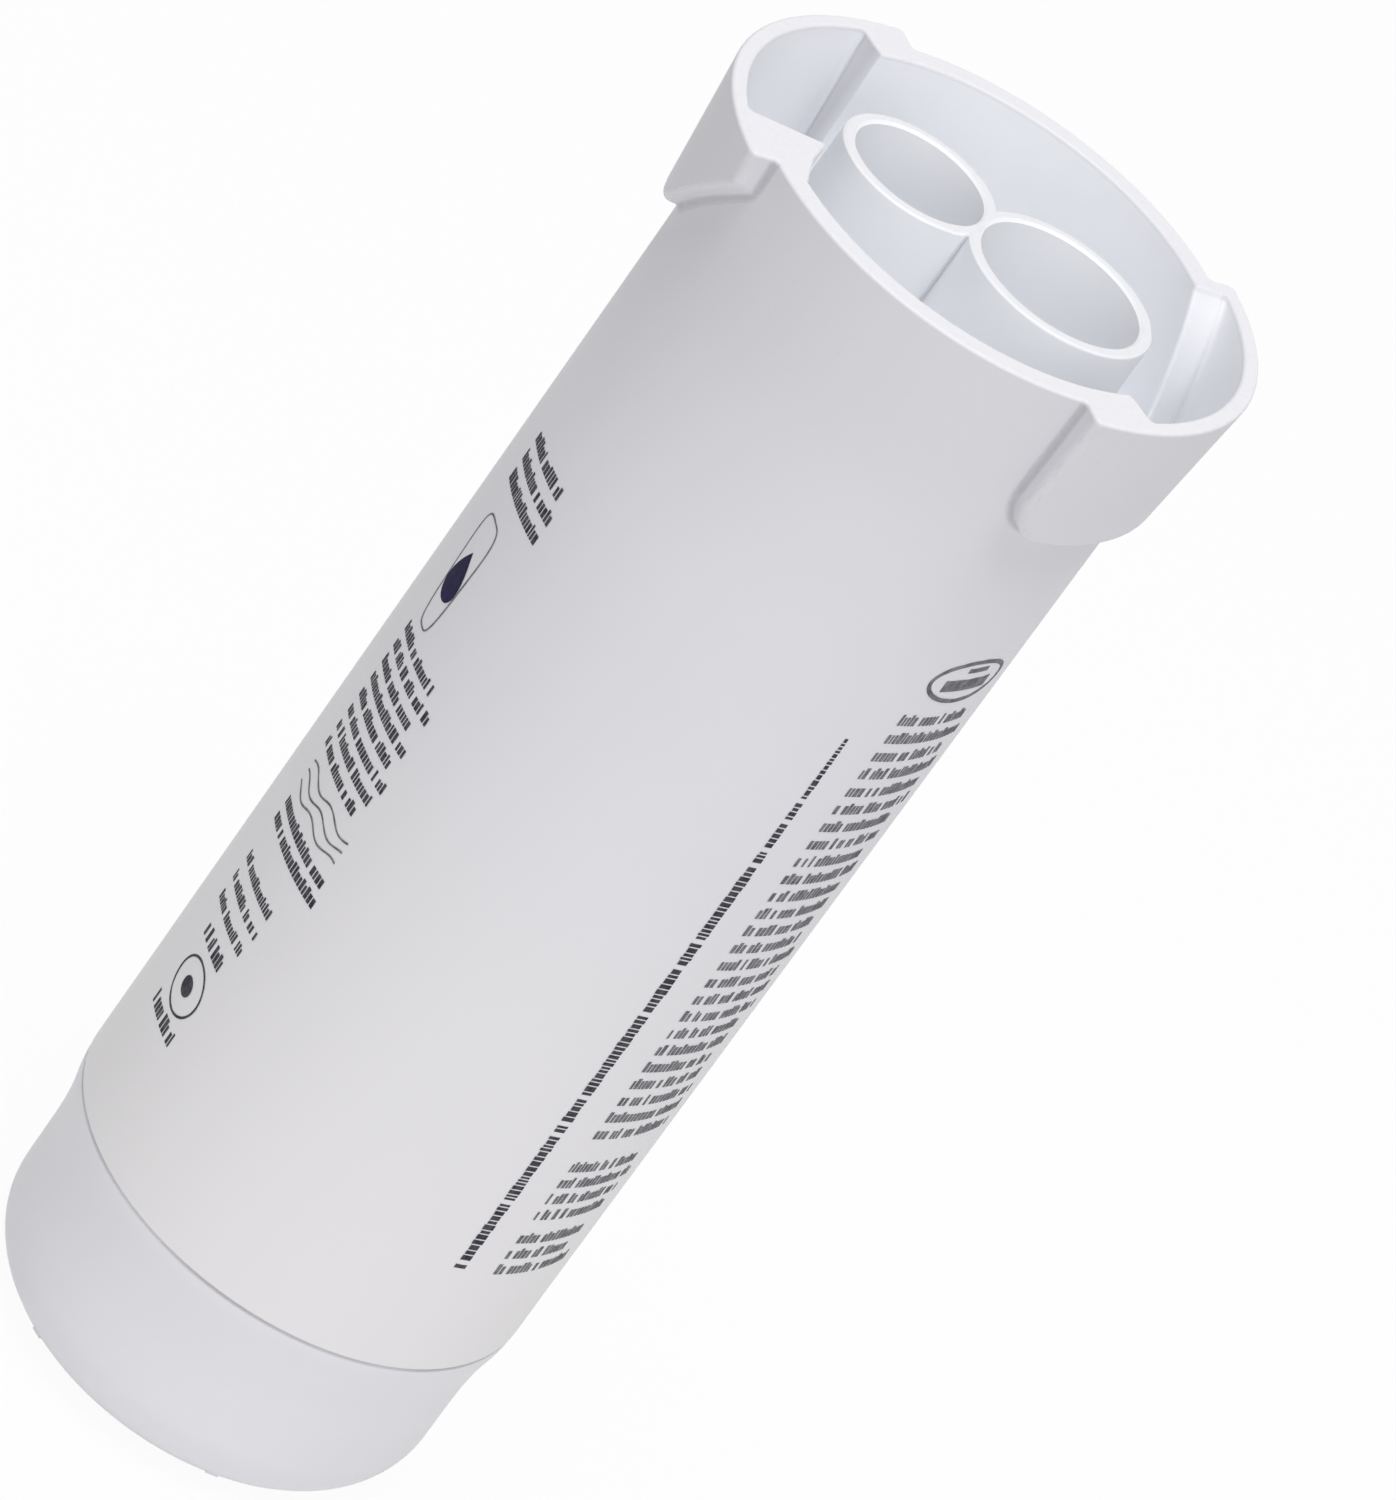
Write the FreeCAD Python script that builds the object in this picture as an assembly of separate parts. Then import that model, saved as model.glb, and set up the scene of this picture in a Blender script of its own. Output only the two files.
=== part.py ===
import FreeCAD, Part
import math
import os
from FreeCAD import Vector

# Water filter cartridge for a refrigerator, standing upright on its base. Millimetres.
# Z runs up the axis to the head, X through both lugs and both ports.

# Outside
TOTAL_H = 216.0         # base to rim
BODY_R = 35.6           # outside radius at the foot of the head
BODY_DRAFT = 0.0037     # the body widens by this much per mm on the way down to the seam
HEAD_BELOW_LUG = 2.5    # the head zone ends this far below the lugs
HEAD_FLARE = 0.8        # the head zone widens by this much up to the rim
WALL = 3.0              # body wall
RIM_WALL = 3.6          # wall of the head recess at the rim
RIM_ROUND = 0.5
HEAD_BLEND = 120.0      # radius of the soft change between body and head zone
CREASE_ROUND = 0.8      # fillet where a lug meets the body
MOUTH_ROUND = 0.6       # edge where a lug's hollow opens into the recess

# Bayonet lugs: slices of a ring, each end a plane through the axis, angles from the lug's middle
LUG_REACH = 4.1         # stands out past the rim
LUG_FLARE = 1.9         # less reach at the lug's foot
LUG_DEPTH = 22.0
LUG_WALL = 2.4
LUG_STOP_DEG = 45.8     # straight end
LUG_LEAD_DEG = 46.8     # ramped end
LUG_LEAD_DROP = 5.7     # straight part of the ramped end
LUG_RAMP_DEG = 41.0     # slope of the ramp
LUG_RAMP_HALF_DEG = 14.0        # half the angle that the ramp takes round the axis
LUG_CORNER = 6.0        # straight end to foot
LUG_RAMP_CORNER = 1.5   # ramped end to ramp
LUG_RAMP_BLEND = 6.0    # ramp to foot
LUG_ROUND = 1.2         # outer edges

# Hollows of the lugs and the key beside the outlet
INLET_POCKET_STOP_DEG = 29.8
INLET_POCKET_LEAD_DEG = 42.5
INLET_POCKET_SLOPE_DEG = 52.0   # its wall at the lug's ramped end leans by this
OUTLET_POCKET_STOP_DEG = 34.0
OUTLET_POCKET_LEAD_DEG = 31.2   # ends at the key
POCKET_ROUND = 0.8      # inner edges of a hollow
KEY_REACH = 6.5         # stands in from the recess wall beside the hollow
KEY_HEEL = 3.4          # stands in at the bend of its inner side
KEY_HEEL_DEG = 41.5
KEY_END_DEG = 52.0      # runs out in the recess wall

# Head recess and ports
RECESS_BELOW_LUG = 2.0  # the recess floor lies this far below the lugs
RECESS_DRAFT = 0.6
FLOOR_T = 3.5
RECESS_ROUND = 2.0
CAVITY_CHAMFER = 3.0
INLET_R = 12.2
OUTLET_R = 9.9
PORT_WALL = 1.9
PORT_WEB = 1.3          # wall that the two bores share
PORT_WEB_X = -1.35
PORT_DROP = 1.4         # port mouths below the rim
PORT_LIP = 0.5          # rounding of the mouth's outer edge
PORT_LEAD_IN = 0.4      # chamfer of its inner edge
PORT_DRAFT = 0.35
INLET_PASSAGE = 0.6     # width of the way down from the inlet, as a share of the floor it has
OUTLET_PASSAGE = 0.8    # the same for the outlet

# Weld joint and bottom cap
SEAM_Z = 33.0
SEAM_CHAMFER = 0.35
SPIGOT_H = 7.0
SPIGOT_WALL = 2.4
SPIGOT_GAP = 0.15
SPIGOT_LEAD = 0.6       # taper at the spigot's end
SPIGOT_LEAD_H = 1.0
CAP_INSET = 0.1         # the cap is this much inside the body at the seam
CAP_SHOULDER = 1.0      # height of the cap's band under the seam
CAP_SHOULDER_PULL = 2.5 # how gently the band turns in
CAP_WAIST_PULL = 9.0    # how gently the slim part turns out
CAP_WAIST = 1.55        # the cap is this much slimmer than the body at the seam
CAP_BLEND_Z = 18.0      # height where the slim part begins
CAP_ROUND = 10.0
CAP_FLOOR = 3.5
CAP_CHAMFER = 5.0       # inner corner
CAP_DISH_R = 18.0
CAP_DISH = 0.8
REST_Z = 14.0           # top of the ribs that carry the filter element
RIB_COUNT = 6
RIB_T = 2.0
BOSS_R = 9.2
BOSS_WALL = 2.6

# Filter element
FLOW_GAP = 4.5          # annulus between wrap and body wall
WRAP_T = 1.2
BLOCK_BORE_R = 6.5
SLIP = 0.1
END_CAP_T = 3.0
SKIRT_H = 6.0
SKIRT_WALL = 1.3
SKIRT_GAP = 0.2
GLUE_T = 0.8
STUB_H = 5.0
STUB_GAP = 0.2
STUB_LEAD = 0.8         # chamfer at the stub's end

# Neck and its seals
NECK_R = 6.9
NECK_BORE_R = 4.0
NECK_GAP = 0.15
NECK_TOP_GAP = 1.5
NECK_FOOT = 1.6         # chamfer between neck and disc
NECK_LEAD = 0.8         # taper at the neck's end
SOCKET_H = 14.0
SOCKET_WALL = 2.4
SOCKET_LEAD = 1.0       # chamfer at the socket's mouth
PLENUM = 2.5            # room for water between socket and top end cap
O_RING_D = 1.6
O_RING_GAP = 0.025      # to the groove and to the socket
GROOVE_W = 2.4
GROOVE_SPACING = 4.6
GROOVE_TOP = 4.0        # neck top to the middle of the upper groove

# Sizes that follow
HEAD_H = LUG_DEPTH + HEAD_BELOW_LUG
HEAD_Z = TOTAL_H - HEAD_H
RIM_R = BODY_R + HEAD_FLARE
SEAM_R = BODY_R + BODY_DRAFT * (HEAD_Z - SEAM_Z)
RECESS_DEPTH = LUG_DEPTH + RECESS_BELOW_LUG
FLOOR_Z = TOTAL_H - RECESS_DEPTH
CEILING_Z = FLOOR_Z - FLOOR_T
CAVITY_R = BODY_R - WALL
CAVITY_SEAM_R = SEAM_R - WALL
RECESS_R = RIM_R - RIM_WALL
INLET_X = PORT_WEB_X + PORT_WEB / 2 + INLET_R
OUTLET_X = PORT_WEB_X - PORT_WEB / 2 - OUTLET_R
PORT_Z = TOTAL_H - PORT_DROP
LUG_FOOT_Z = TOTAL_H - LUG_DEPTH
RAMP_FACING_DEG = LUG_LEAD_DEG - LUG_RAMP_HALF_DEG
OVER_Z = TOTAL_H + 5.0  # cuts that open at the rim run on to here
SPIGOT_R = CAVITY_SEAM_R - SPIGOT_GAP
SPIGOT_BORE_R = SPIGOT_R - SPIGOT_WALL
SOCKET_R = NECK_R + NECK_GAP
SOCKET_OUT_R = SOCKET_R + SOCKET_WALL
WRAP_R = CAVITY_R - FLOW_GAP
BLOCK_R = WRAP_R - WRAP_T - SLIP
SKIRT_BORE_R = WRAP_R + SKIRT_GAP
SKIRT_R = SKIRT_BORE_R + SKIRT_WALL
BLOCK_Z0 = REST_Z + END_CAP_T + GLUE_T
NECK_Z0 = CEILING_Z - SOCKET_H - PLENUM
BLOCK_Z1 = NECK_Z0 - END_CAP_T - GLUE_T
NECK_Z1 = CEILING_Z - NECK_TOP_GAP
STUB_R = BOSS_R - BOSS_WALL - STUB_GAP
GROOVE_R = SOCKET_R - O_RING_D - 2 * O_RING_GAP
SINK = 1.0              # joined shapes run this far into each other, and cuts this far past a face
Z_AXIS = Vector(0, 0, 1)


def outline(points, radii):
    """Wire through 2-D points given as vectors, each corner rounded by its own radius."""
    edges = []
    ends = []
    count = len(points)
    for k in range(count):
        here = points[k]
        to_prev = (points[k - 1] - here).normalize()
        to_next = (points[(k + 1) % count] - here).normalize()
        if radii[k] == 0:
            ends.append((here, here))
            continue
        half = to_prev.getAngle(to_next) / 2
        cut = radii[k] / math.tan(half)
        first = here + to_prev * cut
        last = here + to_next * cut
        bisector = (to_prev + to_next).normalize()
        middle = here + bisector * (radii[k] / math.sin(half) - radii[k])
        edges.append((k, Part.Arc(first, middle, last).toShape()))
        ends.append((first, last))
    for k in range(count):
        start = ends[k][1]
        stop = ends[(k + 1) % count][0]
        edges.append((k + 0.5, Part.LineSegment(start, stop).toShape()))
    ordered = [edge for _, edge in sorted(edges, key=lambda item: item[0])]
    return Part.Wire(ordered)


def turned(points, radii=None):
    """Solid turned about Z from a closed profile of (radius, height) points, its seam at the back."""
    corners = [Vector(0, r, z) for r, z in points]
    if radii is None:
        radii = [0] * len(points)
    face = Part.Face(outline(corners, radii))
    return face.revolve(Vector(0, 0, 0), Z_AXIS, 360)


def tube(outer, inner, low, high):
    return turned([(inner, low), (outer, low), (outer, high), (inner, high)])


def rod(radius, low, high, x=0.0):
    return Part.makeCylinder(radius, high - low, Vector(x, 0, low))


def both_ends(shape):
    """The shape and its copy half a turn round the axis."""
    copy = shape.copy()
    copy.rotate(Vector(0, 0, 0), Z_AXIS, 180)
    return [shape, copy]


def polar(radius, degrees, z=0.0):
    angle = math.radians(degrees)
    return Vector(radius * math.cos(angle), radius * math.sin(angle), z)


def ring_slice(stop_deg, lead_deg, rim_r, low, high):
    """Slice of a flared ring around X, between two planes through the axis."""
    slope = LUG_FLARE / LUG_DEPTH
    inner_r = RECESS_R - 2 * RIM_WALL
    profile = [
        Vector(inner_r, 0, low),
        Vector(rim_r - slope * (TOTAL_H - low), 0, low),
        Vector(rim_r - slope * (TOTAL_H - high), 0, high),
        Vector(inner_r, 0, high),
    ]
    face = Part.Face(Part.makePolygon(profile + profile[:1]))
    piece = face.revolve(Vector(0, 0, 0), Z_AXIS, stop_deg + lead_deg)
    piece.rotate(Vector(0, 0, 0), Z_AXIS, -stop_deg)
    return piece


def below_ramp(degrees, height, slope_deg, facing_deg):
    """Block under a plane that climbs round the axis and passes a height at an angle."""
    size = 4 * BODY_R
    block = Part.makeBox(size, size, size, Vector(0, -size / 2, -size))
    block.rotate(Vector(0, 0, 0), Vector(1, 0, 0), slope_deg)
    along = (RIM_R + LUG_REACH / 2) * math.sin(math.radians(degrees - facing_deg))
    block.translate(Vector(0, along, height))
    block.rotate(Vector(0, 0, 0), Z_AXIS, facing_deg)
    return block


def rounded_outside(piece, radius, high):
    """Rounds the edges of the flared face below a height."""
    faces = [f for f in piece.Faces if isinstance(f.Surface, Part.Cone)]
    edges = [e for f in faces for e in f.Edges if e.BoundBox.ZMin < high - 1e-3]
    return piece.makeFillet(radius, edges)


def is_lug_corner(edge):
    """Tells the nearly level straight edges below the rim, where ends, foot and ramp of a lug meet."""
    box = edge.BoundBox
    level = box.ZLength < edge.Length / 2
    return isinstance(edge.Curve, Part.Line) and level and box.ZMax < TOTAL_H - SINK


def lug_corner_radius(edge):
    if edge.CenterOfMass.y < 0:
        return LUG_CORNER
    if edge.BoundBox.ZMin > LUG_FOOT_Z + SINK:
        return LUG_RAMP_CORNER
    return LUG_RAMP_BLEND


def make_lug():
    """One lug, straight at one end and ramped at the other."""
    ramp_z = TOTAL_H - LUG_LEAD_DROP
    lug = ring_slice(LUG_STOP_DEG, LUG_LEAD_DEG, RIM_R + LUG_REACH, LUG_FOOT_Z, TOTAL_H)
    lug = lug.cut(below_ramp(LUG_LEAD_DEG, ramp_z, LUG_RAMP_DEG, RAMP_FACING_DEG))
    for edge in [e for e in lug.Edges if is_lug_corner(e)]:
        lug = lug.makeFillet(lug_corner_radius(edge), [edge])
    return rounded_outside(lug, LUG_ROUND, TOTAL_H)


def make_pocket(stop_deg, lead_deg):
    """Hollow of one lug, its floor above the lug's foot and ramp by the lug's wall."""
    rim_r = RIM_R + LUG_REACH - LUG_WALL
    ramp_z = TOTAL_H - LUG_LEAD_DROP + LUG_WALL / math.cos(math.radians(LUG_RAMP_DEG))
    pocket = ring_slice(stop_deg, lead_deg, rim_r, LUG_FOOT_Z + LUG_WALL, OVER_Z)
    return pocket.cut(below_ramp(LUG_LEAD_DEG, ramp_z, LUG_RAMP_DEG, RAMP_FACING_DEG))


def make_pockets():
    """Hollows of both lugs: one runs out on a lean wall, the other ends at the key."""
    inlet = make_pocket(INLET_POCKET_STOP_DEG, LUG_LEAD_DEG)
    lean = below_ramp(INLET_POCKET_LEAD_DEG, TOTAL_H, INLET_POCKET_SLOPE_DEG, INLET_POCKET_LEAD_DEG)
    outlet = make_pocket(OUTLET_POCKET_STOP_DEG, OUTLET_POCKET_LEAD_DEG)
    outlet.rotate(Vector(0, 0, 0), Z_AXIS, 180)
    return [rounded_outside(pocket, POCKET_ROUND, OVER_Z) for pocket in (inlet.cut(lean), outlet)]


def make_key():
    """Solid key between the outlet side's hollow and the ramped end of its lug."""
    corners = [
        polar(RECESS_R + RIM_WALL / 2, OUTLET_POCKET_LEAD_DEG, FLOOR_Z - SINK),
        polar(RECESS_R + RIM_WALL / 2, KEY_END_DEG, FLOOR_Z - SINK),
        polar(RECESS_R, KEY_END_DEG, FLOOR_Z - SINK),
        polar(RECESS_R - KEY_HEEL, KEY_HEEL_DEG, FLOOR_Z - SINK),
        polar(RECESS_R - KEY_REACH, OUTLET_POCKET_LEAD_DEG, FLOOR_Z - SINK),
    ]
    key = Part.Face(Part.makePolygon(corners + corners[:1])).extrude(Vector(0, 0, RECESS_DEPTH + SINK))
    key.rotate(Vector(0, 0, 0), Z_AXIS, 180)
    return key


def edges_on_wall(solid, radius_at, low):
    """Edges above a height that run along a wall whose radius is known at every height."""
    found = []
    for edge in solid.Edges:
        box = edge.BoundBox
        if box.ZMin < low - 0.1 or box.ZMin > TOTAL_H - 0.01:
            continue
        first, last = edge.ParameterRange
        points = [edge.valueAt(first + (last - first) * k / 4) for k in range(5)]
        if all(abs(math.hypot(p.x, p.y) - radius_at(p.z)) < 0.05 for p in points):
            found.append(edge)
    return found


def head_r(z):
    return RIM_R - HEAD_FLARE * (TOTAL_H - z) / HEAD_H


def recess_r(z):
    return RECESS_R - RECESS_DRAFT * (TOTAL_H - z) / RECESS_DEPTH


def port_blank(x, radius):
    """One port tube before boring, drafted and with a rounded lip."""
    blank = turned(
        [
            (0, FLOOR_Z - SINK),
            (radius + PORT_WALL + PORT_DRAFT, FLOOR_Z - SINK),
            (radius + PORT_WALL, PORT_Z),
            (0, PORT_Z),
        ],
        [0, 0, PORT_LIP, 0],
    )
    blank.translate(Vector(x, 0, 0))
    return blank


def passage(low_x, high_x, share):
    """Way for water through the floor of the recess, in the middle of a stretch along X."""
    radius = share * (high_x - low_x) / 2
    return rod(radius, CEILING_Z - SINK, FLOOR_Z + SINK, (low_x + high_x) / 2)


def make_housing():
    """Body, head, lugs and ports as one moulding, open at the seam."""
    shell = turned(
        [
            (0, SEAM_Z),
            (SEAM_R - SEAM_CHAMFER, SEAM_Z),
            (SEAM_R, SEAM_Z + SEAM_CHAMFER),
            (BODY_R, HEAD_Z),
            (RIM_R, TOTAL_H),
            (0, TOTAL_H),
        ],
        [0, 0, 0, HEAD_BLEND, 0, 0],
    )
    lugs = both_ends(make_lug())
    solid = shell.fuse(lugs).removeSplitter()
    cavity = turned(
        [
            (0, SEAM_Z - SINK),
            (CAVITY_SEAM_R, SEAM_Z - SINK),
            (CAVITY_SEAM_R, SEAM_Z),
            (CAVITY_R, CEILING_Z - CAVITY_CHAMFER),
            (CAVITY_R - CAVITY_CHAMFER, CEILING_Z),
            (0, CEILING_Z),
        ],
    )
    recess = turned(
        [
            (0, FLOOR_Z),
            (RECESS_R - RECESS_DRAFT, FLOOR_Z),
            (RECESS_R, TOTAL_H),
            (RECESS_R, OVER_Z),
            (0, OVER_Z),
        ],
        [0, RECESS_ROUND, 0, 0, 0],
    )
    solid = solid.cut([cavity, recess] + make_pockets())
    solid = solid.fuse(make_key()).removeSplitter()
    solid = solid.makeFillet(CREASE_ROUND, edges_on_wall(solid, head_r, LUG_FOOT_Z))
    solid = solid.makeFillet(MOUTH_ROUND, edges_on_wall(solid, recess_r, LUG_FOOT_Z + LUG_WALL))
    rim_edges = [e for e in solid.Edges if abs(e.BoundBox.ZMin - TOTAL_H) < 1e-4]
    solid = solid.makeFillet(RIM_ROUND, rim_edges)

    ports = []
    bores = []
    for x, radius in ((INLET_X, INLET_R), (OUTLET_X, OUTLET_R)):
        ports.append(port_blank(x, radius))
        bores.append(rod(radius, FLOOR_Z, OVER_Z, x))
        mouth = Vector(x, 0, PORT_Z - PORT_LEAD_IN)
        bores.append(Part.makeCone(radius, radius + PORT_LEAD_IN, PORT_LEAD_IN, mouth))
    socket = rod(SOCKET_OUT_R, CEILING_Z - SOCKET_H, CEILING_Z + SINK)
    solid = solid.fuse(ports + [socket])

    outlet_low = -SOCKET_R
    outlet_high = OUTLET_X + OUTLET_R
    inlet_low = max(SOCKET_OUT_R, INLET_X - INLET_R)
    inlet_high = INLET_X + INLET_R
    passages = [
        passage(outlet_low, outlet_high, OUTLET_PASSAGE),
        passage(inlet_low, inlet_high, INLET_PASSAGE),
        rod(SOCKET_R, CEILING_Z - SOCKET_H - SINK, CEILING_Z),
        Part.makeCone(SOCKET_R + SOCKET_LEAD, SOCKET_R, SOCKET_LEAD, Vector(0, 0, CEILING_Z - SOCKET_H)),
    ]
    return solid.cut(bores + passages).removeSplitter()


def make_bottom_cap():
    """Closed cup below the seam, with the weld spigot and the ribs that carry the filter element."""
    slim_r = SEAM_R - CAP_WAIST
    band_r = SEAM_R - CAP_INSET
    step_z = SEAM_Z - CAP_SHOULDER
    curve = Part.BezierCurve()
    curve.setPoles([
        Vector(slim_r, 0, CAP_BLEND_Z),
        Vector(slim_r, 0, CAP_BLEND_Z + CAP_WAIST_PULL),
        Vector(band_r, 0, step_z - CAP_SHOULDER_PULL),
        Vector(band_r, 0, step_z),
    ])
    blend = curve.toShape()
    corner_c = Vector(slim_r - CAP_ROUND, 0, CAP_ROUND)
    s45 = math.sqrt(0.5) * CAP_ROUND
    corner = Part.Arc(Vector(slim_r - CAP_ROUND, 0, 0),
                      corner_c + Vector(s45, 0, -s45),
                      Vector(slim_r, 0, CAP_ROUND)).toShape()
    spigot_z = SEAM_Z + SPIGOT_H

    def line(r1, z1, r2, z2):
        return Part.LineSegment(Vector(r1, 0, z1), Vector(r2, 0, z2)).toShape()

    wire = Part.Wire([
        line(0, CAP_DISH, CAP_DISH_R, CAP_DISH),
        line(CAP_DISH_R, CAP_DISH, CAP_DISH_R + CAP_DISH, 0),
        line(CAP_DISH_R + CAP_DISH, 0, slim_r - CAP_ROUND, 0),
        corner,
        line(slim_r, CAP_ROUND, slim_r, CAP_BLEND_Z),
        blend,
        line(band_r, step_z, band_r, SEAM_Z - SEAM_CHAMFER),
        line(band_r, SEAM_Z - SEAM_CHAMFER, band_r - SEAM_CHAMFER, SEAM_Z),
        line(band_r - SEAM_CHAMFER, SEAM_Z, SPIGOT_R, SEAM_Z),
        line(SPIGOT_R, SEAM_Z, SPIGOT_R, spigot_z - SPIGOT_LEAD_H),
        line(SPIGOT_R, spigot_z - SPIGOT_LEAD_H, SPIGOT_R - SPIGOT_LEAD, spigot_z),
        line(SPIGOT_R - SPIGOT_LEAD, spigot_z, SPIGOT_BORE_R, spigot_z),
        line(SPIGOT_BORE_R, spigot_z, SPIGOT_BORE_R, CAP_FLOOR + CAP_CHAMFER),
        line(SPIGOT_BORE_R, CAP_FLOOR + CAP_CHAMFER, SPIGOT_BORE_R - CAP_CHAMFER, CAP_FLOOR),
        line(SPIGOT_BORE_R - CAP_CHAMFER, CAP_FLOOR, 0, CAP_FLOOR),
        line(0, CAP_FLOOR, 0, CAP_DISH),
    ])
    cup = Part.Face(wire).revolve(Vector(0, 0, 0), Z_AXIS, 360)
    boss = tube(BOSS_R, BOSS_R - BOSS_WALL, CAP_FLOOR - SINK, REST_Z)
    ribs = []
    for k in range(RIB_COUNT):
        start = BOSS_R - BOSS_WALL / 2
        length = SPIGOT_BORE_R + SINK - start
        foot = Vector(start, -RIB_T / 2, CAP_FLOOR - SINK)
        rib = Part.makeBox(length, RIB_T, REST_Z - CAP_FLOOR + SINK, foot)
        rib.rotate(Vector(0, 0, 0), Z_AXIS, 360.0 * k / RIB_COUNT)
        ribs.append(rib)
    return cup.fuse([boss] + ribs).removeSplitter()


def make_top_end_cap():
    """Disc with a skirt around the wrap and a grooved neck that slides into the head's socket."""
    low = NECK_Z0 - END_CAP_T
    profile = [
        (NECK_BORE_R, low),
        (SKIRT_BORE_R, low),
        (SKIRT_BORE_R, low - SKIRT_H),
        (SKIRT_R, low - SKIRT_H),
        (SKIRT_R, NECK_Z0),
        (NECK_R + NECK_FOOT, NECK_Z0),
        (NECK_R, NECK_Z0 + NECK_FOOT),
    ]
    for k in (1, 0):
        middle = NECK_Z1 - GROOVE_TOP - k * GROOVE_SPACING
        profile += [
            (NECK_R, middle - GROOVE_W / 2),
            (GROOVE_R, middle - GROOVE_W / 2),
            (GROOVE_R, middle + GROOVE_W / 2),
            (NECK_R, middle + GROOVE_W / 2),
        ]
    profile += [(NECK_R, NECK_Z1 - NECK_LEAD), (NECK_R - NECK_LEAD, NECK_Z1), (NECK_BORE_R, NECK_Z1)]
    return turned(profile)


def make_bottom_end_cap():
    """Closed disc with a skirt around the wrap and a stub that drops into the cap's boss."""
    return turned([
        (0, REST_Z - STUB_H),
        (STUB_R - STUB_LEAD, REST_Z - STUB_H),
        (STUB_R, REST_Z - STUB_H + STUB_LEAD),
        (STUB_R, REST_Z),
        (SKIRT_R, REST_Z),
        (SKIRT_R, REST_Z + END_CAP_T + SKIRT_H),
        (SKIRT_BORE_R, REST_Z + END_CAP_T + SKIRT_H),
        (SKIRT_BORE_R, REST_Z + END_CAP_T),
        (0, REST_Z + END_CAP_T),
    ])


def make_o_ring(index):
    middle = NECK_Z1 - GROOVE_TOP - index * GROOVE_SPACING
    radius = O_RING_D / 2
    return Part.makeTorus(GROOVE_R + O_RING_GAP + radius, radius, Vector(0, 0, middle))


pieces = {
    "housing": make_housing(),
    "bottom_cap": make_bottom_cap(),
    "carbon_block": tube(BLOCK_R, BLOCK_BORE_R, BLOCK_Z0, BLOCK_Z1),
    "prefilter_wrap": tube(WRAP_R, WRAP_R - WRAP_T, BLOCK_Z0, BLOCK_Z1),
    "top_end_cap": make_top_end_cap(),
    "bottom_end_cap": make_bottom_end_cap(),
    "glue_disc_top": tube(BLOCK_R, BLOCK_BORE_R, BLOCK_Z1, BLOCK_Z1 + GLUE_T),
    "glue_disc_bottom": tube(BLOCK_R, BLOCK_BORE_R, BLOCK_Z0 - GLUE_T, BLOCK_Z0),
    "neck_o_ring_upper": make_o_ring(0),
    "neck_o_ring_lower": make_o_ring(1),
}

os.makedirs("parts", exist_ok=True)
for name, shape in pieces.items():
    shape.exportStep("parts/" + name + ".step")
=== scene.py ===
"""Studio scene of a white water filter cartridge that stands on a pale floor.

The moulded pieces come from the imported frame. This script gives them their finishes and adds the print on
the body, the floor, the lights and the camera. Lengths are in metres and angles in degrees.
"""
import math
from collections import namedtuple

import bpy
import numpy as np
from mathutils import Matrix, Vector


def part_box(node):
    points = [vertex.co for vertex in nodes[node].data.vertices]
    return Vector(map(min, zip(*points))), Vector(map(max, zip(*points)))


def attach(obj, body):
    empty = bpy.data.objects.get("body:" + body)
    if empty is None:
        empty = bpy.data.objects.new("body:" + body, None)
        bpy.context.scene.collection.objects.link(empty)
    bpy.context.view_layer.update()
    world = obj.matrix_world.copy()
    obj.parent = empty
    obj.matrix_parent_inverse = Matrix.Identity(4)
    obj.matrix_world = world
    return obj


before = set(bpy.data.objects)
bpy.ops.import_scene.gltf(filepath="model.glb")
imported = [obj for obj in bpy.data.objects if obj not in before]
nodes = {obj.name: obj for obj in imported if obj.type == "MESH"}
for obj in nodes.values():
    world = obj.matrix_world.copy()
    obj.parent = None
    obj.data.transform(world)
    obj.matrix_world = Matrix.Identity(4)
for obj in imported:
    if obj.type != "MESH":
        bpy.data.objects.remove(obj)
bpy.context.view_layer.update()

MM = 0.001

# Places on the housing that its finish follows
housing_low, housing_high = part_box("housing")
SEAM_HEIGHT = housing_low.z             # weld between housing and bottom cap
RIM_HEIGHT = housing_high.z
LUG_RADIUS = housing_high.x
HOLLOW_FLOOR = RIM_HEIGHT - 28 * MM     # just under the floor of the hollow head
RECESS_RADIUS = 32.7 * MM               # wall of the hollow head
INNER_SHADE = (34.8 * MM, 31.5 * MM)    # painted light: end walls of the lugs' pockets grow whiter on the way in
POCKET_RADIUS = 38.2 * MM               # outer wall of the pockets
POCKET_SHADE = (RIM_HEIGHT - 2 * MM, RIM_HEIGHT - 13 * MM)  # painted shade: a pocket darkens from here to here
LEVEL_SHADE = (RIM_HEIGHT - 15 * MM, RIM_HEIGHT - 18 * MM)  # painted shade on the level floors in the head, which lie under these
RIM_FACE = RIM_HEIGHT - 0.7 * MM        # lower limit of the rim's top face
LIP_FACE = RIM_HEIGHT - 1.8 * MM        # and of the ports' lips
CREASE_SHADE_FLOOR = RIM_HEIGHT - 22.7 * MM     # painted shade in the creases ends just under the lugs
FOOT_LIGHT_SPAN = (150 * MM, 45 * MM)        # painted light: the body grows paler from the first height to the second
HEAD_SHADE = (165 * MM, 200 * MM)       # painted shade: the body grows darker from here to here
HEAD_EDGE = 3 * MM                      # the hollow's painted light sets in over this height
FACE_EDGE = 0.2 * MM                    # and the tone of the rim and lips over this
WALL_EDGE = 0.3 * MM                    # tones of the pockets change over this at a wall
BODY_ZONE = (40 * MM, 185 * MM)         # heights between which the outside is a plain cone
SHELL_RADIUS = 34 * MM                  # less than the body's outside and more than its inside there

# Part of a normal that points up, or out from the axis: a tone starts at the first and is full at the second
INWARD_TURN = (-0.05, -0.45)
POCKET_TURN = (0.1, 0.9)
LEVEL_TURN = (0.8, 0.95)
LIP_TURN = (0.65, 0.9)
RIM_TURN = (0.3, 0.8)

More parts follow.
